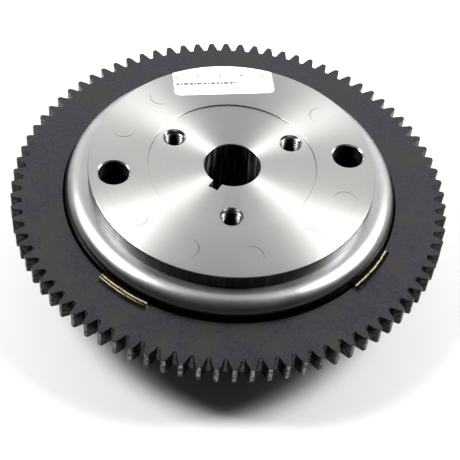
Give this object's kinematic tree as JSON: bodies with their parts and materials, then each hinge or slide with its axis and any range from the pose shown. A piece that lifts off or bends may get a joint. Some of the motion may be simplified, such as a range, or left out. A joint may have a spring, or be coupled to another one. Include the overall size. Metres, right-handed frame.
{
  "type": "flywheel",
  "caption": "Magneto flywheel of a small engine: steel cup with arc magnets inside, riveted tapered hub and a welded starter ring gear.",
  "frame": {"origin": "on the crankshaft axis, in the plane of the cup's open rim", "axes": "+Z along the crankshaft axis from the open rim to the machined hub face; +X through one of the two round windows"},
  "size_m": [0.2158, 0.2158, 0.0562],
  "materials": {
    "turned_steel": "fine-turned bare steel",
    "drawn_steel": "polished drawn steel with a faint heat tint",
    "black_oxide_steel": "matte black oxide",
    "rivet_steel": "turned flush outside, as-headed inside",
    "weld_metal": "weld bead with straw heat tint",
    "ferrite_magnet": "ground sintered ferrite",
    "retainer_sheet": "drawn stainless sheet",
    "spacer_plastic": "moulded black polyamide",
    "seat_aluminium": "as-cut aluminium ring",
    "label_paper": "coated white paper"
  },
  "bodies": {
    "root": {"rotor_shell": "drawn_steel", "hub": "turned_steel", "hub_rivets": "rivet_steel", "ring_gear": "black_oxide_steel", "ring_gear_welds": "weld_metal", "magnet_1": "ferrite_magnet", "magnet_2": "ferrite_magnet", "magnet_3": "ferrite_magnet", "magnet_4": "ferrite_magnet", "magnet_5": "ferrite_magnet", "magnet_6": "ferrite_magnet", "magnet_7": "ferrite_magnet", "magnet_8": "ferrite_magnet", "magnet_9": "ferrite_magnet", "magnet_10": "ferrite_magnet", "magnet_11": "ferrite_magnet", "magnet_12": "ferrite_magnet", "magnet_retainer": "retainer_sheet", "magnet_spacers": "spacer_plastic", "magnet_seat_ring": "seat_aluminium", "part_label": "label_paper"}
  },
  "joints": []
}
